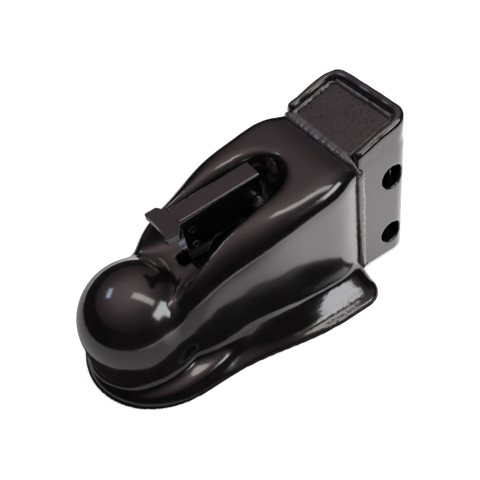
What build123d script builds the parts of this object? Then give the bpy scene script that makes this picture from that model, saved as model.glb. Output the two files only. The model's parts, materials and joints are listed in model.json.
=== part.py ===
from build123d import *
import math
import os

# Trailer coupling head for a ball, bolted between the cheeks of an upright channel.
# Millimetres. The origin is the centre of the ball, +X forward, +Y left, +Z up.

# Ball socket and pressed head
ball_dia = 58.74
ball_gap = 1.6
head_wall = 8.0
head_length = 148.0
head_half_width = 46.5
head_rear_top = 64.0
head_crown = 2.5
head_corner = 8.0
rim_drop = 32.0

# Rim round the underside, the shelf round the dome and the sloping wings
rim_thick = 4.5
rim_front_reach = 5.2
rim_side_reach = 15.0
rim_flank_over = 1.0
rim_edge_round = 1.8
wing_reach = 28.5
wing_corner = 14.0
wing_top_rise = 22.0
wing_edge_inset = 2.4
wing_lip_sink = 0.9
wing_rear_gap = 1.0
wing_wall = 7.5
shelf_rise = 10.2
shelf_tilt = 3.5
shelf_inset = 6.5
shelf_front_reach = 0.2
shelf_spread = 3.8
shelf_round = 2.5
shelf_waist = 2.8
shelf_end_back = 58.0
shelf_end_inset = 1.5

# Latch pocket in the top of the head
pocket_rear = 117.0
pocket_flat_rear = 95.0
pocket_flat_front = 38.0
pocket_floor_rear = 36.0
pocket_floor_front = 28.0
pocket_half_floor = 14.5
pocket_corner = 6.0
pocket_lip = 10.0
pocket_lip_over = 0.8

# Welded channel block
channel_width = 76.2
channel_plate = 8.0
channel_depth = 44.0
channel_bend = 13.0
channel_rim_front = 71.5
channel_rim_rear = 84.3
channel_foot_gap = 1.5
channel_edge_round = 3.4
bolt_hole_dia = 17.5
bolt_spacing = 50.8
bolt_setback = 28.0
bolt_lower_z = -11.5
cap_thick = 6.0
cap_step = 1.5
cap_weld_leg = 2.4
weld_bead_r = 5.0
weld_bead_sink = 2.6

# Latch lever
lever_pin_back = 92.0
lever_pin_z = 47.0
lever_pin_dia = 8.0
lever_width = 15.2
lever_wall = 3.0
lever_tail = 5.0
lever_front_back = 41.0
lever_rear_top = 68.5
lever_front_top = 64.0
lever_pin_edge = 7.0
lever_skirt_round = 4.0
lever_front_gap = 1.5
tab_thick = 4.0
tab_width = 30.0
tab_root_back = 36.5
tab_front_back = 28.0
tab_top_z = 62.5
tab_corner = 1.2
tab_hollow = 1.5
tab_taper = 0.5

# Locking leg and its rivets
leg_thick = 6.0
leg_bottom_z = 14.0
leg_side_gap = 0.1
leg_slot_gap = 0.6
leg_swing_room = 8.0
rivet_dia = 4.0
rivet_edge = 7.0
rivet_pitch = 12.0

# Ears that carry the lever pin
ear_thick = 4.5
ear_gap = 0.7
ear_round = 6.5
ear_base = 22.0

# Ball clamp and its pin
clamp_pin_back = 63.0
clamp_pin_z = 10.0
clamp_pin_dia = 10.0
clamp_hub_r = 9.5
clamp_width = 27.0
clamp_ball_gap = 0.4
clamp_heel_gap = 0.4
clamp_heel_top = 20.0
clamp_hook_z = -18.0
clamp_hook_thick = 7.0
clamp_spring_room = 12.0
clamp_coil_gap = 1.2
washer_thick = 1.2
washer_gap = 0.1
bracket_thick = 5.0
bracket_half_length = 12.0

# Fits, pin heads, rings and springs
pin_clearance = 0.05
pin_head_over = 2.2
pin_head_thick = 2.5
ring_thick = 1.0
ring_over = 2.0
lever_spring_wire = 1.4
clamp_spring_wire = 1.6
lever_spring_leg = 14.0
clamp_spring_leg = 3.5
spring_turns = 3
spring_steps = 16
spring_sides = 8
spring_pin_gap = 0.5
spring_coil_gap = 0.15

# Places worked out from the sizes above
socket_r = ball_dia / 2 + ball_gap
dome_r = socket_r + head_wall
weld_x = -head_length
rim_z = -rim_drop
rim_rear_x = weld_x + wing_rear_gap
rim_top_z = rim_z + rim_thick
shelf_z = rim_top_z + shelf_rise
half_channel = channel_width / 2
cap_top = head_rear_top + cap_step
channel_rear_x = weld_x - channel_depth
bolt_x = weld_x - bolt_setback
lever_pin_x = -lever_pin_back
lever_front_x = -lever_front_back
half_lever = lever_width / 2
clamp_pin_x = -clamp_pin_back
half_clamp = clamp_width / 2
ear_inner = half_lever + ear_gap
ear_outer = ear_inner + ear_thick
bracket_inner = half_clamp + washer_thick + 2 * washer_gap
bracket_outer = bracket_inner + bracket_thick
above = 2 * head_rear_top
margin = 5.0


def along_y(sketch, y_from, y_to):
    """Extrude a sketch drawn in X and Z between two places along Y."""
    return extrude(Plane.XZ.offset(-y_from) * sketch, -(y_to - y_from))


def cross_rod(x, z, radius, y_from, y_to):
    """A round rod along Y."""
    return along_y(Pos(x, z) * Circle(radius), y_from, y_to)


def outline_face(*points):
    """A flat face bounded by straight lines through the points."""
    return make_face(Polyline(*points, close=True))


def arch_section(x, half_width, top, corner):
    """Upright cross-section of the body: flat foot, straight sides and rounded upper corners."""
    box = outline_face((-half_width, rim_z), (half_width, rim_z), (half_width, top), (-half_width, top))
    rounded = fillet(box.vertices().group_by(Axis.Y)[-1], corner)
    return Plane(origin=(x, 0, 0), x_dir=(0, 1, 0), z_dir=(1, 0, 0)) * rounded


def body_stations():
    """Places along the body, from weld to dome, with half width, top and corner radius at each."""
    return (
        (1.0, half_channel + 1.0, head_rear_top, head_corner),
        (0.94, head_half_width - 4.0, head_rear_top + 0.6 * head_crown, head_corner + 2.0),
        (0.86, head_half_width, head_rear_top + head_crown, head_corner + 5.0),
        (0.73, head_half_width + 0.4, head_rear_top, head_corner + 6.0),
        (0.59, head_half_width, head_rear_top - head_crown, head_corner + 9.0),
        (0.46, head_half_width - 2.2, head_rear_top - 7.0, head_corner + 12.0),
        (0.32, dome_r + 1.6, head_rear_top - 13.0, head_corner + 15.0),
        (0.21, dome_r + 0.5, dome_r + 4.4, head_corner + 16.0),
        (0.0, dome_r - 0.1, dome_r - 8.5, head_corner + 17.0),
    )


def body_top(x):
    """Height of the body's top at a place along the head, on straight lines between the stations."""
    stations = [(share * weld_x, top) for share, _, top, _ in body_stations()]
    for (x_back, z_back), (x_front, z_front) in zip(stations, stations[1:]):
        if x <= x_front:
            return z_back + (z_front - z_back) * (x - x_back) / (x_front - x_back)
    return stations[-1][1]


def body_solid(inset):
    """The body from the weld forward into the dome, with every wall moved in by the inset."""
    sections = [
        arch_section(share * weld_x, half - inset, top - inset, corner - 0.6 * inset)
        for share, half, top, corner in body_stations()
    ]
    return loft(sections)


def dome_solid(radius):
    """Ball dome with an upright skirt down to the rim."""
    profile = make_face(
        Curve() + [
            Line((0, radius), (0, rim_z)),
            Line((0, rim_z), (radius, rim_z)),
            Line((radius, rim_z), (radius, 0)),
            CenterArc((0, 0), radius, 0, 90),
        ]
    )
    return revolve(Plane.XZ * profile, Axis.Z)


def pocket_section(x, half_floor, floor_z, draft, grow):
    """Cross-section of the latch pocket, open upwards, with flared lips and its walls moved out by grow."""
    slope = math.tan(math.radians(draft))
    lean = 1 / math.cos(math.radians(draft))
    low = floor_z - grow
    lip = body_top(x) + pocket_lip_over - grow
    half_low = half_floor + grow * (lean - slope)
    half_lip = half_low + (lip - low) * slope
    outer = head_half_width + wing_reach
    half_points = [(half_low, low), (half_lip, lip), (outer, lip), (outer, above)]
    shape = outline_face(*half_points, *[(-y, z) for y, z in reversed(half_points)])
    most = 0.45 * (lip - low)
    floor_corners = shape.vertices().group_by(Axis.Y)[0]
    shape = fillet(floor_corners, min(pocket_corner + grow / 2, 0.8 * half_low, most))
    lips = shape.vertices().filter_by(lambda v: abs(v.Y - lip) < 0.01 and abs(v.X) < outer - 1)
    shape = fillet(lips, min(pocket_lip - grow / 2, most))
    return Plane(origin=(x, 0, 0), x_dir=(0, 1, 0), z_dir=(1, 0, 0)) * shape


def pocket_floor(x):
    """Height of the pocket floor at a place along its flat length."""
    share = (-x - pocket_flat_front) / (pocket_flat_rear - pocket_flat_front)
    return pocket_floor_front + share * (pocket_floor_rear - pocket_floor_front)


def pocket_solid(grow):
    """Room of the latch pocket: scooped up at its rear, dropping into the valley behind the dome."""
    scoop = pocket_rear - pocket_flat_rear
    rear_rise = body_top(-pocket_rear) - pocket_floor_rear
    stations = [
        (-pocket_rear, 0.3 * pocket_half_floor, pocket_floor_rear + 0.94 * rear_rise, 8.0),
        (-pocket_rear + 0.12 * scoop, 0.52 * pocket_half_floor, pocket_floor_rear + 0.66 * rear_rise, 8.0),
        (-pocket_rear + 0.28 * scoop, 0.72 * pocket_half_floor, pocket_floor_rear + 0.36 * rear_rise, 9.0),
        (-pocket_rear + 0.55 * scoop, 0.9 * pocket_half_floor, pocket_floor_rear + 0.1 * rear_rise, 10.0),
        (-pocket_flat_rear, pocket_half_floor, pocket_floor_rear, 12.0),
        (-0.64 * pocket_rear, pocket_half_floor, pocket_floor(-0.64 * pocket_rear), 16.0),
        (-0.47 * pocket_rear, pocket_half_floor + 1.0, pocket_floor(-0.47 * pocket_rear), 22.0),
        (-pocket_flat_front, pocket_half_floor + 3.5, pocket_floor_front, 32.0),
        (-0.64 * dome_r, pocket_half_floor + 6.5, pocket_floor_front - 1.5, 42.0),
        (-0.33 * dome_r, pocket_half_floor + 12.5, pocket_floor_front - 8.0, 48.0),
        (-0.1 * dome_r, pocket_half_floor + 17.5, pocket_floor_front - 15.0, 50.0),
    ]
    sections = []
    for x, half_floor, floor_z, draft in stations:
        share = max(0.0, (-x - pocket_flat_rear) / scoop)
        sections.append(pocket_section(x - share * grow, half_floor, floor_z, draft, grow))
    return loft(sections)


def rim_nose():
    """Radius and centre of the rim's round nose."""
    nose_r = dome_r + rim_side_reach
    return nose_r, dome_r + rim_front_reach - nose_r


def rim_outline():
    """Plan of the rim: round nose, straight flanks and a broad wing on each side at the rear."""
    nose_r, nose_x = rim_nose()
    wing_y = half_channel + wing_reach
    flank_x = 0.28 * weld_x
    wing_x = 0.78 * weld_x
    nose = ThreePointArc((nose_x, nose_r), (nose_x + nose_r, 0), (nose_x, -nose_r))
    sides = []
    for s in (1, -1):
        flank = Spline(
            (nose_x, s * nose_r),
            (flank_x, s * (nose_r + rim_flank_over)),
            (wing_x, s * wing_y),
            tangents=[(-1, 0), (-1, 0)],
        )
        edge = Line((wing_x, s * wing_y), (rim_rear_x + wing_corner, s * wing_y))
        corner = ThreePointArc(
            (rim_rear_x + wing_corner, s * wing_y),
            (rim_rear_x + 0.29 * wing_corner, s * (wing_y - 0.29 * wing_corner)),
            (rim_rear_x, s * (wing_y - wing_corner)),
        )
        sides += [flank, edge, corner]
    close = Line((rim_rear_x, wing_y - wing_corner), (rim_rear_x, wing_corner - wing_y))
    return make_face(Curve() + [nose, *sides, close])


def rim_solid():
    """Flat rim plate with a rounded upper edge."""
    plate = extrude(Plane.XY.offset(rim_z) * rim_outline(), rim_thick)
    top_edges = plate.faces().sort_by(Axis.Z)[-1].edges()
    return fillet(top_edges, rim_edge_round)


def mirrored_plan(points):
    """Plan between a smooth line through the points on the left and its mirror image on the right."""
    others = [(x, -y) for x, y in points]
    return make_face(
        Curve() + [
            Spline(*points),
            Line(points[-1], others[-1]),
            Spline(*others),
            Line(others[0], points[0]),
        ]
    )


def wing_solid(sink):
    """Wings sloping from their roots on the body out into the rim, lowered by the sink."""
    wing_y = half_channel + wing_reach - wing_edge_inset
    stations = (
        (rim_rear_x + sink, half_channel + 1.0, 5.0, wing_y - wing_corner),
        (0.972 * weld_x + sink, half_channel + 2.5, 7.5, wing_y - 0.45 * wing_corner),
        (0.935 * weld_x + sink, head_half_width - 4.5, 10.5, wing_y - 0.1 * wing_corner),
        (0.87 * weld_x, head_half_width - 1.0, 12.5, wing_y),
        (0.74 * weld_x, head_half_width - 0.5, 14.0, wing_y - 1.3),
        (0.6 * weld_x, head_half_width - 0.7, 18.0, wing_y - 4.0),
        (0.47 * weld_x, head_half_width - 2.8, 20.0, wing_y - 7.5),
        (0.36 * weld_x, dome_r + 1.6, 15.5, wing_y - 10.3),
        (0.28 * weld_x, dome_r + 1.0, 11.5, wing_y - 12.5),
        (0.2 * weld_x, dome_r, 8.0, wing_y - 16.5),
    )
    low = [(x, edge_y) for x, _, _, edge_y in stations]
    high = []
    for x, root_y, root_rise, edge_y in stations:
        slope = (edge_y - root_y) / (root_rise + wing_lip_sink)
        high.append((x, edge_y - slope * (wing_top_rise + wing_lip_sink)))
    foot = Plane.XY.offset(rim_top_z - wing_lip_sink - sink)
    crest = Plane.XY.offset(rim_top_z + wing_top_rise - sink)
    return loft([foot * mirrored_plan(low), crest * mirrored_plan(high)])


def shelf_plan(spread):
    """Plan of the shelf round the dome's foot, moved out by the spread."""
    nose_r = rim_nose()[0] - shelf_inset
    nose_x = dome_r + shelf_front_reach - nose_r
    nose_r += spread
    end_x = -shelf_end_back
    end_y = dome_r - shelf_end_inset + spread
    nose = ThreePointArc((nose_x, nose_r), (nose_x + nose_r, 0), (nose_x, -nose_r))
    flanks = [
        Spline(
            (nose_x, s * nose_r),
            (0.5 * (nose_x + end_x), s * (nose_r - shelf_waist)),
            (end_x, s * end_y),
            tangents=[(-1, 0), (-1, -0.5 * s)],
        )
        for s in (1, -1)
    ]
    close = Line((end_x, end_y), (end_x, -end_y))
    return make_face(Curve() + [nose, *flanks, close])


def shelf_solid():
    """Shelf round the dome's foot, rising to the rear, with a rounded ridge and a sloping outer face."""
    tilt = Pos(0, 0, shelf_z) * Rot(0, shelf_tilt, 0)
    ridge = tilt * shelf_plan(-shelf_round)
    bend = tilt * Pos(0, 0, -shelf_round) * shelf_plan(0.25 * shelf_spread)
    foot = Plane.XY.offset(rim_top_z - wing_lip_sink) * shelf_plan(shelf_spread)
    return loft([ridge, bend, foot])


def leg_span():
    """Front and rear faces of the locking leg along X, at rest."""
    front = lever_front_x - lever_wall
    return front, front - leg_thick


def build_head():
    """Pressed head: one shell with dome, body, rim, wings and pocket, open below and at the rear."""
    skirt = rim_solid() + wing_solid(0)
    outer = body_solid(0) - pocket_solid(0) + dome_solid(dome_r) + skirt + shelf_solid()
    core = body_solid(head_wall) - pocket_solid(head_wall) + dome_solid(socket_r) + wing_solid(wing_wall)
    rear_opening = extrude(
        arch_section(
            weld_x - margin,
            half_channel - head_wall,
            head_rear_top - head_wall,
            head_corner - 0.6 * head_wall,
        ),
        2 * margin,
    )
    leg_front, leg_rear = leg_span()
    slot_front = leg_front + leg_swing_room
    slot_rear = leg_rear - leg_slot_gap
    slot_width = lever_width - 2 * lever_wall + 2 * leg_slot_gap
    slot_place = Pos((slot_front + slot_rear) / 2, 0, pocket_floor_front)
    slot = slot_place * Box(slot_front - slot_rear, slot_width, 4 * head_wall)
    return outer - core - rear_opening - slot


def channel_plan(inset, front_x, bend):
    """Plan of the channel block, its sides and rear moved in by the inset."""
    half = half_channel - inset
    rear = channel_rear_x + inset
    shape = outline_face((front_x, half), (rear, half), (rear, -half), (front_x, -half))
    return fillet(shape.vertices().group_by(Axis.X)[0], bend)


def channel_column(inset, front_x, bend):
    """The plan drawn up well past the top of the block."""
    foot = rim_z + channel_foot_gap
    return extrude(Plane.XY.offset(foot) * channel_plan(inset, front_x, bend), above - foot)


def slope_slab(top_front, depth):
    """A slab across the whole block, parallel to its sloping rim."""
    rise = channel_rim_rear - channel_rim_front
    profile = outline_face(
        (weld_x, top_front),
        (channel_rear_x, top_front + rise),
        (channel_rear_x, top_front + rise - depth),
        (weld_x, top_front - depth),
    )
    return along_y(profile, -half_channel, half_channel)


def build_channel():
    """Plate bent to a U, open to the front, with a soft sloping rim and two cross bolt holes."""
    outside = channel_column(0, weld_x, channel_bend)
    inside = channel_column(channel_plate, weld_x + margin, channel_bend - channel_plate)
    height = channel_rim_rear + rim_drop
    block = (outside - inside) & slope_slab(channel_rim_front, 2 * height)
    rim = block.faces().filter_by(lambda f: f.normal_at().Z > 0.5).sort_by(Axis.Z)[-1]
    block = fillet(rim.edges(), channel_edge_round)
    for z in (bolt_lower_z, bolt_lower_z + bolt_spacing):
        block -= cross_rod(bolt_x, z, bolt_hole_dia / 2, -half_channel - 1, half_channel + 1)
    return block


def build_cap_plate():
    """Plate let into the top of the channel, a step above the head where they meet."""
    column = channel_column(channel_plate, weld_x, channel_bend - channel_plate)
    return column & slope_slab(cap_top, cap_thick)


def build_cap_weld():
    """Fillet bead in the corner between the cap plate and the channel walls."""
    slope = math.atan2(channel_rim_rear - channel_rim_front, channel_depth)
    along = Vector(-math.cos(slope), 0, math.sin(slope))
    up = Vector(math.sin(slope), 0, math.cos(slope))
    plane = Plane(origin=(weld_x, 0, cap_top), x_dir=along, z_dir=up)
    length = (channel_depth - channel_plate) / math.cos(slope) - cap_weld_leg
    half = half_channel - channel_plate - cap_weld_leg
    clear = outline_face((-margin, half), (length, half), (length, -half), (-margin, -half))
    room = extrude(plane * clear, cap_weld_leg, taper=-45)
    column = channel_column(channel_plate, weld_x, channel_bend - channel_plate)
    return (column & slope_slab(cap_top + cap_weld_leg, cap_weld_leg)) - room


def build_joint_weld(joined):
    """Flat bead over the joint of head and channel, up one side, across the top and down the other."""
    face = Plane(origin=(weld_x, 0, 0), x_dir=(0, 1, 0), z_dir=(1, 0, 0))
    half = half_channel - weld_bead_sink
    top = head_rear_top + cap_step / 2 - weld_bead_sink
    path = face * FilletPolyline(
        (half, rim_top_z),
        (half, top),
        (-half, top),
        (-half, rim_top_z),
        radius=head_corner,
    )
    bead = sweep(Plane(origin=path @ 0, z_dir=path % 0) * Circle(weld_bead_r), path)
    for piece in joined:
        bead -= piece
    return bead.solids().sort_by(SortBy.VOLUME)[-1]


def build_lever():
    """Folded latch lever: an inverted U with a closed front and a flared finger tab."""
    rear_x = lever_pin_x - lever_tail
    skirt_z = lever_pin_z - lever_pin_edge
    cheek_rear = leg_span()[1] - lever_wall
    front_foot = pocket_floor(cheek_rear) + lever_front_gap
    side = outline_face(
        (rear_x, lever_rear_top),
        (lever_front_x, lever_front_top),
        (lever_front_x, front_foot),
        (cheek_rear, front_foot),
        (cheek_rear - lever_pin_edge, skirt_z),
        (rear_x, skirt_z),
    )
    side = fillet(side.vertices().sort_by_distance((rear_x, skirt_z, 0))[0], lever_skirt_round)
    body = along_y(side, -half_lever, half_lever)
    top_edges = body.edges().filter_by(lambda e: abs(e.center().Y) > half_lever - 0.1)
    top_edges = top_edges.filter_by(lambda e: e.center().Z > lever_front_top and e.length > lever_width)
    body = fillet(top_edges, lever_wall / 2)
    hollow = outline_face(
        (rear_x - 1, lever_rear_top - lever_wall),
        (lever_front_x - lever_wall, lever_front_top - lever_wall),
        (lever_front_x - lever_wall, front_foot - 1),
        (rear_x - 1, front_foot - 1),
    )
    body -= along_y(hollow, lever_wall - half_lever, half_lever - lever_wall)
    body += finger_tab()
    body -= cross_rod(lever_pin_x, lever_pin_z, lever_pin_dia / 2 + pin_clearance, -half_lever, half_lever)
    for x, z in rivet_places():
        body -= cross_rod(x, z, rivet_dia / 2, -half_lever, half_lever)
    return body


def finger_tab():
    """Fan-shaped tab at the lever's front, with a hollowed front edge."""
    half = tab_width / 2
    half_front = half - tab_taper
    root_x = -tab_root_back
    front_x = -tab_front_back
    neck_x = lever_front_x - lever_wall / 2
    edge = Curve() + [
        Line((neck_x, half_lever), (lever_front_x, half_lever)),
        Line((lever_front_x, half_lever), (root_x, half)),
        Line((root_x, half), (front_x, half_front)),
        ThreePointArc((front_x, half_front), (front_x - tab_hollow, 0), (front_x, -half_front)),
        Line((front_x, -half_front), (root_x, -half)),
        Line((root_x, -half), (lever_front_x, -half_lever)),
        Line((lever_front_x, -half_lever), (neck_x, -half_lever)),
        Line((neck_x, -half_lever), (neck_x, half_lever)),
    ]
    plate = extrude(Plane.XY.offset(tab_top_z - tab_thick) * make_face(edge), tab_thick)
    upright = plate.edges().filter_by(Axis.Z).filter_by(lambda e: abs(e.center().Y) > half - 1)
    return fillet(upright, tab_corner)


def rivet_places():
    """Centres of the two rivets through the lever's cheeks and the leg, as X and Z."""
    front, rear = leg_span()
    high = lever_front_top - lever_wall - rivet_edge
    return [((front + rear) / 2, high), ((front + rear) / 2, high - rivet_pitch)]


def build_locking_leg():
    """Block between the lever's cheeks whose foot stands in front of the clamp's heel."""
    front, rear = leg_span()
    half = half_lever - lever_wall - leg_side_gap
    top = lever_front_top - lever_wall
    side = outline_face((front, top), (front, leg_bottom_z), (rear, leg_bottom_z), (rear, top))
    side = fillet(side.vertices().group_by(Axis.Y)[0], 1.0)
    leg = along_y(side, -half, half)
    for x, z in rivet_places():
        leg -= cross_rod(x, z, rivet_dia / 2, -half, half)
    return leg


def build_leg_rivets():
    """Two rivets, ground flush with both cheeks."""
    rivets = [cross_rod(x, z, rivet_dia / 2, -half_lever, half_lever) for x, z in rivet_places()]
    return Compound(children=[r.solid() for r in rivets])


def build_ear(s, head):
    """Lug welded in the pocket beside the lever, with the pin hole near its rounded tip."""
    base_z = pocket_floor(lever_pin_x) - head_wall / 2
    tip = Pos(lever_pin_x, lever_pin_z) * Circle(ear_round)
    root = outline_face(
        (lever_pin_x - ear_base / 2, base_z),
        (lever_pin_x + ear_base / 2, base_z),
        (lever_pin_x + 0.9 * ear_round, lever_pin_z + 0.4 * ear_round),
        (lever_pin_x - 0.9 * ear_round, lever_pin_z + 0.4 * ear_round),
    )
    near, far = sorted((s * ear_inner, s * ear_outer))
    lug = along_y(tip + root, near, far) - head
    lug -= cross_rod(lever_pin_x, lever_pin_z, lever_pin_dia / 2, near, far)
    return lug.solids().sort_by(SortBy.VOLUME)[-1]


def build_pin(x, z, dia, outer_y):
    """Headed cross pin with a ring groove past the far lug."""
    radius = dia / 2
    tail = outer_y + 3 * ring_thick
    pin = cross_rod(x, z, radius, -outer_y, tail)
    pin += cross_rod(x, z, radius + pin_head_over, -outer_y - pin_head_thick, -outer_y)
    groove = cross_rod(x, z, radius + 1, outer_y + pin_clearance, outer_y + ring_thick + 2 * pin_clearance)
    groove -= cross_rod(x, z, radius - ring_thick / 2, outer_y, outer_y + 2 * ring_thick)
    pin -= groove
    ends = pin.faces().filter_by(Axis.Y).sort_by(Axis.Y)[-1].edges()
    return chamfer(ends, 0.6)


def build_pin_ring(x, z, dia, outer_y):
    """Open ring in the pin's groove."""
    radius = dia / 2
    near = outer_y + pin_clearance
    ring = cross_rod(x, z, radius + ring_over, near, near + ring_thick)
    ring -= cross_rod(x, z, radius - ring_thick / 2, near, near + ring_thick)
    gap = Pos(x, near + ring_thick / 2, z - radius) * Box(0.9 * dia, 2 * ring_thick, dia)
    return ring - gap


def torsion_spring(x, z, pin_dia, wire, turns, start, start_leg, end_leg):
    """Torsion spring round a cross pin: a close coil of stepped wire with a straight leg at each end."""
    mean_r = pin_dia / 2 + spring_pin_gap + wire / 2
    pitch = wire + spring_coil_gap
    steps = round(turns * spring_steps)
    angles = [math.tau * i / spring_steps for i in range(steps + 1)]
    coil = [Vector(mean_r * math.cos(a), mean_r * math.sin(a), pitch * a / math.tau) for a in angles]
    last_way = Vector(-math.sin(angles[-1]), math.cos(angles[-1]), 0)
    first = coil[0] - Vector(0, start_leg, 0)
    path = Polyline(first, *coil, coil[-1] + last_way * end_leg)
    section = Plane(origin=first, z_dir=(0, 1, 0)) * RegularPolygon(wire / 2, spring_sides)
    spring = sweep(section, path, transition=Transition.RIGHT)
    return Plane(origin=(x, turns * pitch / 2, z), x_dir=start, z_dir=(0, -1, 0)) * spring


def build_lever_spring():
    """Holds the lever down: one leg under the lever's top, one on the pocket floor."""
    return torsion_spring(
        lever_pin_x,
        lever_pin_z,
        lever_pin_dia,
        lever_spring_wire,
        spring_turns + 0.5,
        (0, 0, 1),
        lever_spring_leg,
        lever_spring_leg,
    )


def build_clamp_spring():
    """Swings the clamp open: one leg up to the pocket's underside, one in the clamp's arm."""
    coil_r = clamp_pin_dia / 2 + spring_pin_gap + clamp_spring_wire / 2
    up = pocket_floor(clamp_pin_x - coil_r) - head_wall - clamp_pin_z - spring_pin_gap
    return torsion_spring(
        clamp_pin_x,
        clamp_pin_z,
        clamp_pin_dia,
        clamp_spring_wire,
        spring_turns + 0.25,
        (-1, 0, 0),
        up,
        clamp_spring_leg,
    )


def build_clamp():
    """Jaw that hooks under the rear of the ball, with a heel that the locking leg blocks."""
    heel_x = leg_span()[1] - clamp_heel_gap
    seat_r = ball_dia / 2 + clamp_ball_gap
    tip_x = -math.sqrt(seat_r ** 2 - clamp_hook_z ** 2)
    low_z = clamp_hook_z - 0.75 * clamp_hook_thick
    hub = Pos(clamp_pin_x, clamp_pin_z) * Circle(clamp_hub_r)
    heel = outline_face(
        (clamp_pin_x, clamp_heel_top),
        (heel_x, clamp_heel_top),
        (heel_x, clamp_pin_z - clamp_hub_r),
        (clamp_pin_x, clamp_pin_z - clamp_hub_r),
    )
    arm = outline_face(
        (heel_x, clamp_pin_z - 1.0),
        (-0.85 * seat_r, -1.0),
        (tip_x + 1.0, clamp_hook_z),
        (tip_x - 2.0, low_z),
        (tip_x - 2.0 * clamp_hook_thick, low_z + 0.5),
        (clamp_pin_x - 0.5 * clamp_hub_r, clamp_pin_z - 0.85 * clamp_hub_r),
    )
    jaw = along_y(hub + heel + arm, -half_clamp, half_clamp)
    jaw -= Sphere(seat_r)
    half_room = clamp_spring_room / 2
    coil_room = clamp_pin_dia / 2 + clamp_spring_wire + clamp_coil_gap
    jaw -= cross_rod(clamp_pin_x, clamp_pin_z, coil_room, -half_room, half_room)
    open_back = Box(2 * clamp_hub_r, clamp_spring_room, 2 * clamp_hub_r + 2)
    jaw -= Pos(clamp_pin_x - clamp_hub_r, 0, clamp_pin_z) * open_back
    bore_r = clamp_pin_dia / 2 + pin_clearance
    return jaw - cross_rod(clamp_pin_x, clamp_pin_z, bore_r, -half_clamp, half_clamp)


def build_clamp_washers():
    """A thin washer on each side of the jaw."""
    near = half_clamp + washer_gap
    washer = cross_rod(clamp_pin_x, clamp_pin_z, clamp_hub_r, near, near + washer_thick)
    washer -= cross_rod(clamp_pin_x, clamp_pin_z, clamp_pin_dia / 2, near, near + washer_thick)
    return Compound(children=[washer.solid(), mirror(washer, about=Plane.XZ).solid()])


def build_bracket(s, head):
    """Plate welded under the pocket floor that carries one end of the clamp pin."""
    top = pocket_floor(clamp_pin_x) - 0.3 * head_wall
    low = clamp_pin_z - clamp_hub_r
    side = outline_face(
        (clamp_pin_x - bracket_half_length, top),
        (clamp_pin_x - bracket_half_length, low),
        (clamp_pin_x + bracket_half_length, low),
        (clamp_pin_x + bracket_half_length, top),
    )
    side = fillet(side.vertices().group_by(Axis.Y)[0], 0.8 * clamp_hub_r)
    near, far = sorted((s * bracket_inner, s * bracket_outer))
    plate = along_y(side, near, far) - head
    plate -= cross_rod(clamp_pin_x, clamp_pin_z, clamp_pin_dia / 2, near, far)
    return plate.solids().sort_by(SortBy.VOLUME)[-1]


def main():
    head = build_head()
    channel = build_channel()
    cap = build_cap_plate()
    cap_weld = build_cap_weld()
    nodes = {
        "head_shell": head,
        "mount_channel": channel,
        "cap_plate": cap,
        "cap_weld": cap_weld,
        "joint_weld": build_joint_weld([head, channel, cap, cap_weld]),
        "latch_lever": build_lever(),
        "locking_leg": build_locking_leg(),
        "leg_rivets": build_leg_rivets(),
        "pivot_ear_left": build_ear(1, head),
        "pivot_ear_right": build_ear(-1, head),
        "lever_pin": build_pin(lever_pin_x, lever_pin_z, lever_pin_dia, ear_outer),
        "lever_pin_ring": build_pin_ring(lever_pin_x, lever_pin_z, lever_pin_dia, ear_outer),
        "lever_spring": build_lever_spring(),
        "ball_clamp": build_clamp(),
        "clamp_pin": build_pin(clamp_pin_x, clamp_pin_z, clamp_pin_dia, bracket_outer),
        "clamp_pin_ring": build_pin_ring(clamp_pin_x, clamp_pin_z, clamp_pin_dia, bracket_outer),
        "clamp_washers": build_clamp_washers(),
        "clamp_bracket_left": build_bracket(1, head),
        "clamp_bracket_right": build_bracket(-1, head),
        "clamp_spring": build_clamp_spring(),
    }
    os.makedirs("parts", exist_ok=True)
    for name, shape in nodes.items():
        export_step(shape, f"parts/{name}.step")


main()
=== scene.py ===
import json
import math

import bmesh
import bpy
import numpy as np
from mathutils import Matrix, Vector, noise as field
from mathutils.bvhtree import BVHTree


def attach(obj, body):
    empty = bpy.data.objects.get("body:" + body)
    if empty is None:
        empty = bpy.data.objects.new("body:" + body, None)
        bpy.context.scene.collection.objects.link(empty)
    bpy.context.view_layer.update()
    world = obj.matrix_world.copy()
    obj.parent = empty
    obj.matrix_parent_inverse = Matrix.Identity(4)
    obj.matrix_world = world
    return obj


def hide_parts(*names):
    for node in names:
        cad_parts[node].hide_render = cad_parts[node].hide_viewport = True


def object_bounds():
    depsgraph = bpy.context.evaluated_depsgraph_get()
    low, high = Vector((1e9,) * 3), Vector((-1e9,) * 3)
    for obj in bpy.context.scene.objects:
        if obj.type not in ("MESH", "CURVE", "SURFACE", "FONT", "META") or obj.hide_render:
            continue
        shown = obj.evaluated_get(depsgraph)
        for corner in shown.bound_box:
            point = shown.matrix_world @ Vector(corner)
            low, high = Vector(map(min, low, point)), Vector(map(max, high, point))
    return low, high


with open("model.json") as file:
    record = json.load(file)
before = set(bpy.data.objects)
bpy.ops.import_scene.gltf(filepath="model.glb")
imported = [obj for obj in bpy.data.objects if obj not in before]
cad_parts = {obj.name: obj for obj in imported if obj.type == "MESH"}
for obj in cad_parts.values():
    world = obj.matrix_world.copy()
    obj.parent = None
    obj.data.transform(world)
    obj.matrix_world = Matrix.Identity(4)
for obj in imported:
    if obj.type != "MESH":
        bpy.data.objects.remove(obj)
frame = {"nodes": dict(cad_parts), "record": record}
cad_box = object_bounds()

nodes = frame["nodes"]
scene = bpy.context.scene
scene.view_settings.view_transform = "Standard"

MM = 0.001
FLOOR_Z = cad_box[0][2]
CENTRE = Vector((-0.07, 0.0, 0.0))
UP = Vector((0.0, 0.0, 1.0))


# Skins: even meshes on the solids' own shapes, relaxed as drawn steel and weld metal are

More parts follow.
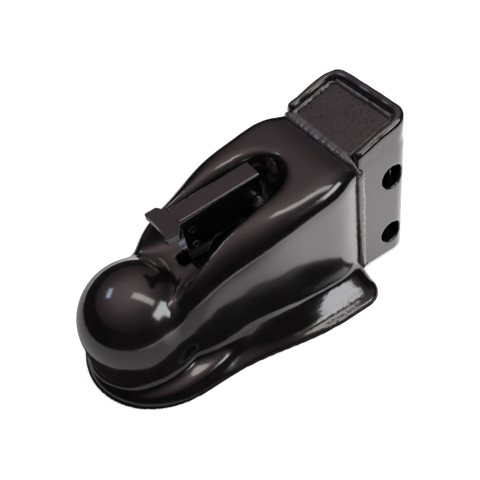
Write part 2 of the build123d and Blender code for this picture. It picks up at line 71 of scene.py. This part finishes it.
ROLL_SIDES = 12
RAY_LIFT = 0.4 * MM
RELAX_PULL = 0.5
ROUNDS_PER_NORMAL = 10


def add_roll(bm, path):
    """Adds a closed round bar along a path of (point, radius) pairs."""
    turns = [math.tau * k / ROLL_SIDES for k in range(ROLL_SIDES)]
    last = len(path) - 1
    rings = []
    for i, (point, radius) in enumerate(path):
        along = (path[min(i + 1, last)][0] - path[max(i - 1, 0)][0]).normalized()
        out = along.cross(UP).normalized()
        rise = out.cross(along)
        ring = [point + radius * (math.cos(t) * out + math.sin(t) * rise) for t in turns]
        rings.append([bm.verts.new(place) for place in ring])
    for a, b in zip(rings, rings[1:]):
        for k in range(ROLL_SIDES):
            after = (k + 1) % ROLL_SIDES
            bm.faces.new((a[k], a[after], b[after], b[k]))
    bm.faces.new(list(reversed(rings[0])))
    bm.faces.new(rings[-1])


def remeshed(node, voxel, rolls=()):
    """A new object with an even mesh on a node's shape and the rolls laid along it."""
    bm = bmesh.new()
    bm.from_mesh(nodes[node].data)
    for path in rolls:
        add_roll(bm, path)
    bmesh.ops.recalc_face_normals(bm, faces=bm.faces)
    joined = bpy.data.meshes.new(node + "_joined")
    bm.to_mesh(joined)
    bm.free()
    obj = bpy.data.objects.new(node + "_skin", joined)
    scene.collection.objects.link(obj)
    remesh = obj.modifiers.new("even", "REMESH")
    remesh.mode = "VOXEL"
    remesh.voxel_size = voxel
    evaluated = obj.evaluated_get(bpy.context.evaluated_depsgraph_get())
    mesh = bpy.data.meshes.new_from_object(evaluated)
    obj.modifiers.clear()
    obj.data = mesh
    mesh.shade_smooth()
    return obj


def read_points(mesh):
    points = np.empty(3 * len(mesh.vertices))
    mesh.vertices.foreach_get("co", points)
    return points.reshape(-1, 3)


def read_normals(mesh):
    normals = np.empty(3 * len(mesh.vertices), dtype=np.float32)
    mesh.vertices.foreach_get("normal", normals)
    return normals.reshape(-1, 3).astype(float)


def write_points(mesh, points):
    mesh.vertices.foreach_set("co", points.ravel())
    mesh.update()


def step(value, low, high):
    """0 below low, 1 above high and a smooth rise between."""
    t = np.clip((value - low) / (high - low), 0.0, 1.0)
    return t * t * (3.0 - 2.0 * t)


def band(value, start, full, fall, end):
    """1 from full to fall, 0 before start and past end, and smooth between."""
    return step(value, start, full) * (1 - step(value, fall, end))


def outside(mesh, points):
    """1 for points that face open air above, in front or beside, 0 inside the hollow."""
    tree = BVHTree.FromPolygons(points.tolist(), [tuple(f.vertices) for f in mesh.polygons])
    starts = points + RAY_LIFT * read_normals(mesh)
    ways = [Vector(w) for w in ((0, 0, 1), (0, 1, 0), (0, -1, 0), (1, 0, 0))]
    clear = [any(tree.ray_cast(Vector(p), w)[0] is None for w in ways) for p in starts]
    return np.array(clear, dtype=float)


def neighbour_mean(values, edges, count):
    total = np.empty_like(values)
    for axis in range(values.shape[1]):
        column = values[:, axis]
        total[:, axis] = np.bincount(edges[:, 0], column[edges[:, 1]], len(values))
        total[:, axis] += np.bincount(edges[:, 1], column[edges[:, 0]], len(values))
    return total / count


def relax(mesh, weight, rounds, give):
    """Draws each point to its neighbours' mean; give is how freely ridges, unlike hollows, sink."""
    edges = np.empty(2 * len(mesh.edges), dtype=int)
    mesh.edges.foreach_get("vertices", edges)
    edges = edges.reshape(-1, 2)
    points = read_points(mesh)
    count = np.bincount(edges.ravel(), minlength=len(points))[:, None]
    for turn in range(rounds):
        if turn % ROUNDS_PER_NORMAL == 0:
            write_points(mesh, points)
            normals = read_normals(mesh)
        pull = RELAX_PULL * (neighbour_mean(points, edges, count) - points)
        rise = np.sum(pull * normals, axis=1, keepdims=True)
        lift = np.where(rise < 0, give * rise, rise) * normals
        points += weight[:, None] * (pull - rise * normals + lift)
    write_points(mesh, points)


def lump(mesh, weight, size, height, swell=0.0):
    """Moves points along their normals by soft noise of a size, and all by the swell."""
    points = read_points(mesh)
    heights = np.array([field.noise(Vector(p) / size) for p in points])
    moves = weight * (height * heights + swell)
    write_points(mesh, points + moves[:, None] * read_normals(mesh))


def stand_in(skin, node):
    """Puts a skin in its node's place on the head."""
    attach(skin, "head")
    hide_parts(node)
    return skin


# The roll that carries the ledge on into the wing's root: x, y, z and radius in mm
WING_ROLL = (
    (-14, 43.0, -22.5, 3.5), (-28, 42.0, -21.0, 4.5), (-41, 40.5, -19.5, 5.5), (-52, 39.0, -17.0, 6.5),
    (-60, 38.5, -15.5, 7.0), (-68, 41.0, -15.0, 6.5), (-80, 43.5, -16.0, 6.0), (-95, 45.0, -18.0, 5.5),
    (-112, 45.5, -20.0, 5.0), (-128, 44.5, -22.0, 4.5),
)
# Zones of the head in mm: where a weight starts and is full and, in bands, where it falls and ends
ABOVE_RIM_Z = (-31.5, -28.5)
AHEAD_OF_WELD_X = (-146.0, -140.0)
SLOT_X = (-66.0, -62.0, -38.0, -35.0)
BESIDE_SLOT = (6.5, 9.0)
ABOVE_SLOT_Z = (33.0, 37.0)
NECK_X = (-66.0, -44.0, -6.0, 6.0)
FLANK_SIDE = (24.0, 34.0)
FLANK_Z = (-8.0, 0.0, 18.0, 28.0)
LOW_X = (-84.0, -70.0, 20.0, 34.0)
LOW_Z = (-29.5, -28.0, -14.0, -8.0)
LEDGE_X = (-60.0, -46.0)
LEDGE_Z = (-27.5, -25.5, -15.0, -9.0)
UPPER_Z = (-14.0, -4.0)
LEDGE_SINK = 0.3
LOWER_SHARE = 0.3


def make_head_skin():
    """The pressed head, whose creases run softly into each other; rim, hollow and slot keep their shape."""
    rolls = [
        [(MM * Vector((x, side * y, z)), MM * r) for x, y, z, r in WING_ROLL]
        for side in (1, -1)
    ]
    skin = remeshed("head_shell", 1.25 * MM, rolls)
    mesh = skin.data
    points = read_points(mesh)
    x, y, z = points.T / MM
    side = np.abs(y)
    free = outside(mesh, points) * step(z, *ABOVE_RIM_Z) * step(x, *AHEAD_OF_WELD_X)
    slot = (1 - step(side, *BESIDE_SLOT)) * band(x, *SLOT_X) * (1 - step(z, *ABOVE_SLOT_Z))
    free *= 1 - slot
    flank = band(x, *NECK_X) * step(side, *FLANK_SIDE) * band(z, *FLANK_Z)
    low = band(z, *LOW_Z) * band(x, *LOW_X)
    ledge = free * step(x, *LEDGE_X) * band(z, *LEDGE_Z)
    upper = LOWER_SHARE + (1 - LOWER_SHARE) * step(z, *UPPER_Z)
    points[:, 2] -= LEDGE_SINK * ledge * (points[:, 2] - LEDGE_Z[0] * MM)
    write_points(mesh, points)
    relax(mesh, free, rounds=6, give=1.0)
    relax(mesh, free * low, rounds=50, give=0.35)
    relax(mesh, free * flank, rounds=140, give=0.1)
    relax(mesh, free * upper, rounds=36, give=0.3)
    return stand_in(skin, "head_shell")


BEAD_X = -0.148
BEAD_LEAN = 0.3
BEAD_SWELL = 0.7 * MM
RIPPLE_PITCH = 4.6 * MM
RIPPLE_HEIGHT = 0.12 * MM
WANDER = 1.2 * MM
WANDER_LENGTH = 6.3 * MM


def make_weld_skin():
    """The joint's bead with the ripples that the torch left."""
    skin = remeshed("joint_weld", 0.7 * MM)
    mesh = skin.data
    points = read_points(mesh)
    along = points[:, 2] - np.abs(points[:, 1])
    wander = WANDER * np.sin(along / WANDER_LENGTH) + BEAD_LEAN * (points[:, 0] - BEAD_X)
    ripple = np.sin(math.tau * (along + wander) / RIPPLE_PITCH)
    swell = BEAD_SWELL + RIPPLE_HEIGHT * ripple
    write_points(mesh, points + swell[:, None] * read_normals(mesh))
    everywhere = np.ones(len(points))
    lump(mesh, everywhere, size=6.0 * MM, height=0.5 * MM)
    relax(mesh, everywhere, rounds=4, give=1.0)
    return stand_in(skin, "joint_weld")


def make_cap_weld_skin():
    """The uneven bead round the cap."""
    skin = remeshed("cap_weld", 0.6 * MM)
    everywhere = np.ones(len(skin.data.vertices))
    lump(skin.data, everywhere, size=5.0 * MM, height=0.7 * MM, swell=0.4 * MM)
    relax(skin.data, everywhere, rounds=6, give=1.0)
    return stand_in(skin, "cap_weld")


BLOCK_RIM_Z = (58.0, 68.0)


def make_block_skin():
    """The channel with its bent rim as soft and uneven as the torch left it."""
    skin = remeshed("mount_channel", 1.0 * MM)
    mesh = skin.data
    rim = step(read_points(mesh)[:, 2] / MM, *BLOCK_RIM_Z)
    relax(mesh, rim, rounds=30, give=0.5)
    lump(mesh, rim, size=9.0 * MM, height=0.5 * MM, swell=-0.5 * MM)
    relax(mesh, np.ones(len(rim)), rounds=2, give=1.0)
    return stand_in(skin, "mount_channel")


# Shader helpers

def new_material(name):
    """A material with a Principled shader on its output."""
    mat = bpy.data.materials.new(name)
    mat.use_nodes = True
    tree = mat.node_tree
    tree.nodes.clear()
    out = tree.nodes.new("ShaderNodeOutputMaterial")
    shader = tree.nodes.new("ShaderNodeBsdfPrincipled")
    tree.links.new(shader.outputs["BSDF"], out.inputs["Surface"])
    return mat, tree, shader


def object_coords(tree):
    return tree.nodes.new("ShaderNodeTexCoord").outputs["Object"]


def split_axes(tree, coords):
    """The X, Y and Z sockets of a vector."""
    split = tree.nodes.new("ShaderNodeSeparateXYZ")
    tree.links.new(coords, split.inputs["Vector"])
    return split.outputs


def noise(tree, coords, scale, detail=3.0, roughness=0.5):
    """Noise in object space; scale is in features per metre."""
    node = tree.nodes.new("ShaderNodeTexNoise")
    node.inputs["Scale"].default_value = scale
    node.inputs["Detail"].default_value = detail
    node.inputs["Roughness"].default_value = roughness
    tree.links.new(coords, node.inputs["Vector"])
    return node.outputs["Fac"]


def ramp(tree, value, low, high, out_low=0.0, out_high=1.0):
    """A clamped straight-line change of a value."""
    node = tree.nodes.new("ShaderNodeMapRange")
    node.inputs["From Min"].default_value = low
    node.inputs["From Max"].default_value = high
    node.inputs["To Min"].default_value = out_low
    node.inputs["To Max"].default_value = out_high
    tree.links.new(value, node.inputs["Value"])
    return node.outputs["Result"]


def calc(tree, operation, a, b):
    """A math node on two sockets or numbers."""
    node = tree.nodes.new("ShaderNodeMath")
    node.operation = operation
    for socket, value in zip(node.inputs, (a, b)):
        if isinstance(value, (int, float)):
            socket.default_value = value
        else:
            tree.links.new(value, socket)
    return node.outputs["Value"]


def mix_colour(tree, factor, a, b):
    """Colour a where the factor is 0, b where it is 1; each is a tuple or a socket."""
    node = tree.nodes.new("ShaderNodeMix")
    node.data_type = "RGBA"
    tree.links.new(factor, node.inputs["Factor"])
    sockets = [s for s in node.inputs if s.type == "RGBA"]
    for socket, value in zip(sockets, (a, b)):
        if isinstance(value, tuple):
            socket.default_value = (*value, 1.0)
        else:
            tree.links.new(value, socket)
    return next(s for s in node.outputs if s.type == "RGBA")


def bump(tree, height, strength, distance, normal=None):
    node = tree.nodes.new("ShaderNodeBump")
    node.inputs["Strength"].default_value = strength
    node.inputs["Distance"].default_value = distance
    tree.links.new(height, node.inputs["Height"])
    if normal is not None:
        tree.links.new(normal, node.inputs["Normal"])
    return node.outputs["Normal"]


OPEN_FACE_DOT = 0.985
SHARP_EDGE_DOT = 0.88


def soft_edges(tree, radius):
    """A normal that rounds the edges over, and a mask that is 1 on sharp edges, 0 on open faces."""
    bevel = tree.nodes.new("ShaderNodeBevel")
    bevel.samples = 8
    bevel.inputs["Radius"].default_value = radius
    geometry = tree.nodes.new("ShaderNodeNewGeometry")
    dot = tree.nodes.new("ShaderNodeVectorMath")
    dot.operation = "DOT_PRODUCT"
    tree.links.new(bevel.outputs["Normal"], dot.inputs[0])
    tree.links.new(geometry.outputs["Normal"], dot.inputs[1])
    return bevel.outputs["Normal"], ramp(tree, dot.outputs["Value"], OPEN_FACE_DOT, SHARP_EDGE_DOT)


# Materials: noise scales are in features per metre

COARSE_X = (-0.085, -0.115)
COARSE_Z = (-0.006, -0.012)
FINE_SHARE = 0.1
PATCH_SCALE, RUB_SCALE, WAVE_SCALE, PEEL_SCALE, PIT_SCALE = 48.0, 240.0, 34.0, 380.0, 620.0
WAVE_DEPTH, PEEL_DEPTH, PIT_DEPTH = 1.5 * MM, 0.25 * MM, 0.35 * MM
HAZE_LIFT = 2.0
DULL_LIFT = 1.7
RUBBED_ROUGH = 0.3


def coarse(tree, coords):
    """1 low down at the rear, where the paint ran and dried rough, and a small share elsewhere."""
    place = split_axes(tree, coords)
    rear = ramp(tree, place["X"], *COARSE_X)
    low = ramp(tree, place["Z"], *COARSE_Z)
    return calc(tree, "MAXIMUM", calc(tree, "MULTIPLY", rear, low), FINE_SHARE)


def gloss_paint(name, base, worn, edge_radius, waves, peel, pits, wear, rough):
    """Dipped gloss paint on pressed steel.

    Long waves bend the reflections, orange peel and pits break them up, and the paint is thin and
    rubbed grey on the edges.
    """
    mat, tree, shader = new_material(name)
    coords = object_coords(tree)
    rounded, edges = soft_edges(tree, edge_radius)
    patches = noise(tree, coords, PATCH_SCALE, 4.0, 0.6)
    broken = ramp(tree, noise(tree, coords, RUB_SCALE, 4.0, 0.7), 0.46, 0.64)
    rubbed = calc(tree, "MULTIPLY", calc(tree, "MULTIPLY", edges, broken), wear)
    haze = tuple(HAZE_LIFT * c for c in base)
    hazy = mix_colour(tree, ramp(tree, patches, 0.35, 0.75), base, haze)
    tree.links.new(mix_colour(tree, rubbed, hazy, worn), shader.inputs["Base Color"])
    dull = ramp(tree, patches, 0.3, 0.8, rough, DULL_LIFT * rough)
    scuffed = calc(tree, "MULTIPLY", rubbed, RUBBED_ROUGH)
    tree.links.new(calc(tree, "ADD", dull, scuffed), shader.inputs["Roughness"])
    bent = bump(tree, noise(tree, coords, WAVE_SCALE, 1.0, 0.4), waves, WAVE_DEPTH, rounded)
    orange = calc(tree, "MULTIPLY", noise(tree, coords, PEEL_SCALE, 2.0, 0.5), coarse(tree, coords))
    peeled = bump(tree, orange, peel, PEEL_DEPTH, bent)
    holes = ramp(tree, noise(tree, coords, PIT_SCALE, 2.0, 0.4), 0.30, 0.40)
    pitted = bump(tree, holes, pits, PIT_DEPTH, peeled)
    tree.links.new(pitted, shader.inputs["Normal"])
    tree.links.new(pitted, shader.inputs["Coat Normal"])
    shader.inputs["IOR"].default_value = 1.75
    shader.inputs["Coat Weight"].default_value = 1.0
    shader.inputs["Coat Roughness"].default_value = 0.07
    return mat


TONE_SCALE, GRAIN_SCALE = 120.0, 1600.0
DARK_SHARE = 0.55
GRAIN_STRENGTH = 0.25
GRAIN_DEPTH = 0.05 * MM


def steel(name, colour, rough):
    """Plain steel with a fine drawn grain."""
    mat, tree, shader = new_material(name)
    coords = object_coords(tree)
    tone = noise(tree, coords, TONE_SCALE, 4.0, 0.6)
    dark = tuple(DARK_SHARE * c for c in colour)
    blend = mix_colour(tree, ramp(tree, tone, 0.3, 0.7), dark, colour)
    tree.links.new(blend, shader.inputs["Base Color"])
    dull = ramp(tree, tone, 0.2, 0.8, rough - 0.08, rough + 0.15)
    tree.links.new(dull, shader.inputs["Roughness"])
    grain = bump(tree, noise(tree, coords, GRAIN_SCALE, 2.0), GRAIN_STRENGTH, GRAIN_DEPTH)
    tree.links.new(grain, shader.inputs["Normal"])
    shader.inputs["Metallic"].default_value = 1.0
    return mat


BLACK = (0.0024, 0.0022, 0.0023)
# Lighter base for the welds: partly their own worn tone, partly a painted reflection of the white floor on
# the flat bead
WELD_TONE_AND_SHEEN = (0.030, 0.029, 0.029)
CLAMP_BLACK = (0.012, 0.012, 0.012)
GREY = (0.06, 0.058, 0.058)
LEVER_GREY = (0.14, 0.135, 0.13)
CLAMP_GREY = (0.12, 0.12, 0.12)
HEAD = gloss_paint(
    "head_paint", BLACK, GREY,
    edge_radius=0.8 * MM, waves=0.30, peel=0.60, pits=0.0, wear=0.5, rough=0.13,
)
BLOCK = gloss_paint(
    "block_paint", BLACK, GREY,
    edge_radius=1.2 * MM, waves=0.12, peel=0.08, pits=0.0, wear=0.8, rough=0.14,
)
CAP = gloss_paint(
    "cap_paint", BLACK, GREY,
    edge_radius=1.2 * MM, waves=0.6, peel=3.0, pits=0.9, wear=0.8, rough=0.18,
)
LEVER = gloss_paint(
    "lever_paint", BLACK, LEVER_GREY,
    edge_radius=0.9 * MM, waves=0.25, peel=0.6, pits=0.05, wear=1.0, rough=0.17,
)
WELD = gloss_paint(
    "weld_paint", WELD_TONE_AND_SHEEN, GREY,
    edge_radius=0.6 * MM, waves=0.3, peel=2.0, pits=0.0, wear=0.8, rough=0.22,
)
CLAMP = gloss_paint(
    "clamp_paint", CLAMP_BLACK, CLAMP_GREY,
    edge_radius=0.8 * MM, waves=0.2, peel=0.5, pits=0.4, wear=1.0, rough=0.28,
)
STEEL = steel("bare_steel", (0.42, 0.42, 0.43), rough=0.34)
SPRING = steel("spring_steel", (0.5, 0.5, 0.5), rough=0.28)
BY_SLOT = {
    "black_paint": HEAD,
    "lever_paint": LEVER,
    "painted_weld": WELD,
    "clamp_steel": CLAMP,
    "bare_steel": STEEL,
    "spring_steel": SPRING,
}
BY_NODE = {"mount_channel": BLOCK, "cap_plate": CAP}
for part in frame["record"]["subparts"]:
    materials = nodes[part["node"]].data.materials
    materials.clear()
    materials.append(BY_NODE.get(part["node"], BY_SLOT[part["material_slot"]]))
make_head_skin().data.materials.append(HEAD)
make_weld_skin().data.materials.append(WELD)
make_cap_weld_skin().data.materials.append(WELD)
make_block_skin().data.materials.append(BLOCK)


# Stage: white floor and backdrop, dark cards for the reflections, dark mats of painted shadow and shade on
# the floor, a dim room and the lamps

WHITE = (0.9, 0.9, 0.9, 1.0)
CARD_BLACK = (0.02, 0.02, 0.02, 1.0)
WHITE_ROUGH = 0.9
BACKDROP_GLOW = 0.95
GLOW_REACH = (0.35, 1.1)
FADE_ALPHA = (0.0, 0.75)
RING_COUNT = 48


def mesh_object(name, points, faces):
    mesh = bpy.data.meshes.new(name)
    mesh.from_pydata(points, [], faces)
    obj = bpy.data.objects.new(name, mesh)
    scene.collection.objects.link(obj)
    return obj


def white_glow(tree, shader, strength):
    """Lifts a surface towards white where the camera, a reflection or clear glass sees it."""
    path = tree.nodes.new("ShaderNodeLightPath")
    seen = calc(tree, "MAXIMUM", path.outputs["Is Camera Ray"], path.outputs["Is Glossy Ray"])
    seen = calc(tree, "MAXIMUM", seen, path.outputs["Is Transmission Ray"])
    shader.inputs["Emission Color"].default_value = (1.0, 1.0, 1.0, 1.0)
    tree.links.new(calc(tree, "MULTIPLY", seen, strength), shader.inputs["Emission Strength"])


def make_floor(half, near_glow, far_glow):
    """White floor that keeps the shadow and stays white to its far edges."""
    corners = [(-half, -half, 0), (half, -half, 0), (half, half, 0), (-half, half, 0)]
    floor = mesh_object("floor", corners, [(0, 1, 2, 3)])
    floor.location.z = FLOOR_Z
    mat, tree, shader = new_material("floor_white")
    shader.inputs["Base Color"].default_value = WHITE
    shader.inputs["Roughness"].default_value = WHITE_ROUGH
    shader.inputs["Specular IOR Level"].default_value = 0.1
    away = tree.nodes.new("ShaderNodeVectorMath")
    away.operation = "LENGTH"
    tree.links.new(object_coords(tree), away.inputs[0])
    glow = ramp(tree, away.outputs["Value"], *GLOW_REACH, near_glow, far_glow)
    white_glow(tree, shader, glow)
    floor.data.materials.append(mat)


def ring_wall(radius, height):
    """Points and faces of a round upright wall on the floor."""
    turns = [math.tau * i / RING_COUNT for i in range(RING_COUNT)]
    points = [
        (CENTRE.x + radius * math.cos(t), CENTRE.y + radius * math.sin(t), FLOOR_Z) for t in turns
    ]
    points += [(x, y, z + height) for x, y, z in points]
    pairs = [(i, (i + 1) % RING_COUNT) for i in range(RING_COUNT)]
    faces = [(a, b, RING_COUNT + b, RING_COUNT + a) for a, b in pairs]
    return points, faces


def make_backdrop(radius, height):
    """Pale wall round the far edge of the floor."""
    wall = mesh_object("backdrop", *ring_wall(radius, height))
    mat, tree, shader = new_material("backdrop_white")
    shader.inputs["Base Color"].default_value = WHITE
    shader.inputs["Roughness"].default_value = WHITE_ROUGH
    white_glow(tree, shader, BACKDROP_GLOW)
    wall.data.materials.append(mat)


def dark_card(name, points, faces, reflections_only, fade=None):
    """A black card on the stage.

    A fade is two places along X: the card is clear at the first and darkest at the second.
    """
    card = mesh_object(name, points, faces)
    if reflections_only:
        card.visible_camera = False
        card.visible_diffuse = False
        card.visible_shadow = False
        card.visible_transmission = False
    mat, tree, shader = new_material(name)
    shader.inputs["Base Color"].default_value = CARD_BLACK
    shader.inputs["Roughness"].default_value = 1.0
    shader.inputs["Specular IOR Level"].default_value = 0.0
    if fade:
        place = split_axes(tree, object_coords(tree))
        tree.links.new(ramp(tree, place["X"], *fade, *FADE_ALPHA), shader.inputs["Alpha"])
    card.data.materials.append(mat)


def make_mat(name, half_outline, lift, reflections_only, fade=None):
    """A dark mat of painted shade on the floor under the object, mirrored across its middle."""
    outline = list(half_outline) + [(x, -y) for x, y in reversed(half_outline)]
    points = [(x * MM, y * MM, FLOOR_Z + lift) for x, y in outline]
    dark_card(name, points, [tuple(range(len(points)))], reflections_only, fade)


CEILING_POWER = 4.0
LEAN_Y = (-0.6, 0.6)


def make_room(horizon, zenith, tint, right_side, left_side):
    """A dim room whose ceiling is lighter than its walls, and lighter on the right than on the left."""
    world = bpy.data.worlds.new("room")
    world.use_nodes = True
    scene.world = world
    tree = world.node_tree
    background = tree.nodes["Background"]
    way = split_axes(tree, tree.nodes.new("ShaderNodeTexCoord").outputs["Generated"])
    height = calc(tree, "MAXIMUM", way["Z"], 0.0)
    lift = calc(tree, "MULTIPLY", calc(tree, "POWER", height, CEILING_POWER), zenith - horizon)
    lean = ramp(tree, way["Y"], *LEAN_Y, right_side, left_side)
    strength = calc(tree, "MULTIPLY", calc(tree, "ADD", lift, horizon), lean)
    tree.links.new(strength, background.inputs["Strength"])
    background.inputs["Color"].default_value = (*tint, 1.0)


def area_light(name, azimuth, elevation, distance, size, radiance, colour, glossy=True):
    """A rectangular lamp facing the object, of an even radiance."""
    az, el = math.radians(azimuth), math.radians(elevation)
    way = Vector((math.cos(az) * math.cos(el), math.sin(az) * math.cos(el), math.sin(el)))
    data = bpy.data.lights.new(name, "AREA")
    data.shape = "RECTANGLE"
    data.size, data.size_y = size
    data.energy = radiance * math.pi * size[0] * size[1]
    data.color = colour
    lamp = bpy.data.objects.new(name, data)
    scene.collection.objects.link(lamp)
    lamp.location = CENTRE + distance * way
    lamp.rotation_euler = (-way).to_track_quat("-Z", "Y").to_euler()
    lamp.visible_glossy = glossy


# Half outlines of the mats of painted shadow and shade in mm, from front to rear
SHADOW = (
    (62, 12), (52, 38), (36, 52), (24, 58), (8, 67), (-15, 71), (-35, 75), (-50, 82), (-60, 88), (-76, 91),
    (-92, 91), (-115, 87), (-137, 80), (-150, 69), (-156, 46),
)
FRONT_SHADE = ((340, 100), (250, 300), (-130, 300))
FRONT_SHADE_FADE = (-0.13, -0.02)
HOLLOW_SHADE = ((36, 10), (30, 22), (10, 33), (-40, 36), (-130, 36), (-146, 30), (-190, 30))
make_floor(half=3.5, near_glow=0.45, far_glow=0.92)
make_backdrop(radius=3.0, height=0.8)
dark_card("dark_border", *ring_wall(radius=0.42, height=0.22), reflections_only=True)
make_mat("shadow_mat", SHADOW, lift=0.3 * MM, reflections_only=True)
# Painted shade: a dark mat, seen by the camera too, on the floor inside the hollow head where the floor
# lies in shade
make_mat("hollow_shade_mat", HOLLOW_SHADE, lift=0.2 * MM, reflections_only=False)
# Painted shade: a dark mat seen only in reflections, darkening the floor in front of the object and fading
# out towards the rear
make_mat("front_shade_mat", FRONT_SHADE, lift=0.1 * MM, reflections_only=True, fade=FRONT_SHADE_FADE)
make_room(horizon=0.05, zenith=0.6, tint=(1.12, 0.84, 0.90), right_side=1.35, left_side=0.55)
area_light(
    "fill", azimuth=90.0, elevation=84.0, distance=0.95, size=(1.4, 1.2),
    radiance=1.6, colour=(1.0, 1.0, 1.0), glossy=False,
)
area_light(
    "strip", azimuth=130.0, elevation=72.0, distance=0.90, size=(0.17, 0.66),
    radiance=2.4, colour=(1.0, 0.99, 0.93),
)
area_light(
    "strip_end", azimuth=125.0, elevation=36.0, distance=0.90, size=(0.50, 0.24),
    radiance=4.0, colour=(0.97, 0.98, 1.0),
)
area_light(
    "window", azimuth=-50.0, elevation=49.0, distance=0.90, size=(0.26, 0.12),
    radiance=3.2, colour=(0.62, 0.76, 1.0),
)


# Camera at the photo's angle, with its focal length and centre in the photo's pixels

AZIMUTH, ELEVATION, ROLL = (math.radians(v) for v in (151.3, 47.6, -8.7))
CAMERA_AT = Vector((0.0399, 0.2746, 0.3210))
FOCAL_PX, CENTRE_U, CENTRE_V, FRAME_PX = 650.35, 285.6, 256.1, 480
back = Vector((
    math.sin(AZIMUTH) * math.cos(ELEVATION),
    -math.cos(AZIMUTH) * math.cos(ELEVATION),
    math.sin(ELEVATION),
))
level = (-back).cross(UP).normalized()
down = (-back).cross(level)
right = math.cos(ROLL) * level - math.sin(ROLL) * down
up = -(math.sin(ROLL) * level + math.cos(ROLL) * down)
lens = bpy.data.cameras.new("camera")
lens.sensor_width = 36.0
lens.sensor_fit = "HORIZONTAL"
lens.lens = FOCAL_PX / FRAME_PX * lens.sensor_width
lens.shift_x = 0.5 - CENTRE_U / FRAME_PX
lens.shift_y = CENTRE_V / FRAME_PX - 0.5
lens.clip_start = 0.01
camera = bpy.data.objects.new("camera", lens)
scene.collection.objects.link(camera)
pose = Matrix((right, up, back)).transposed().to_4x4()
pose.translation = CAMERA_AT
camera.matrix_world = pose
scene.camera = camera
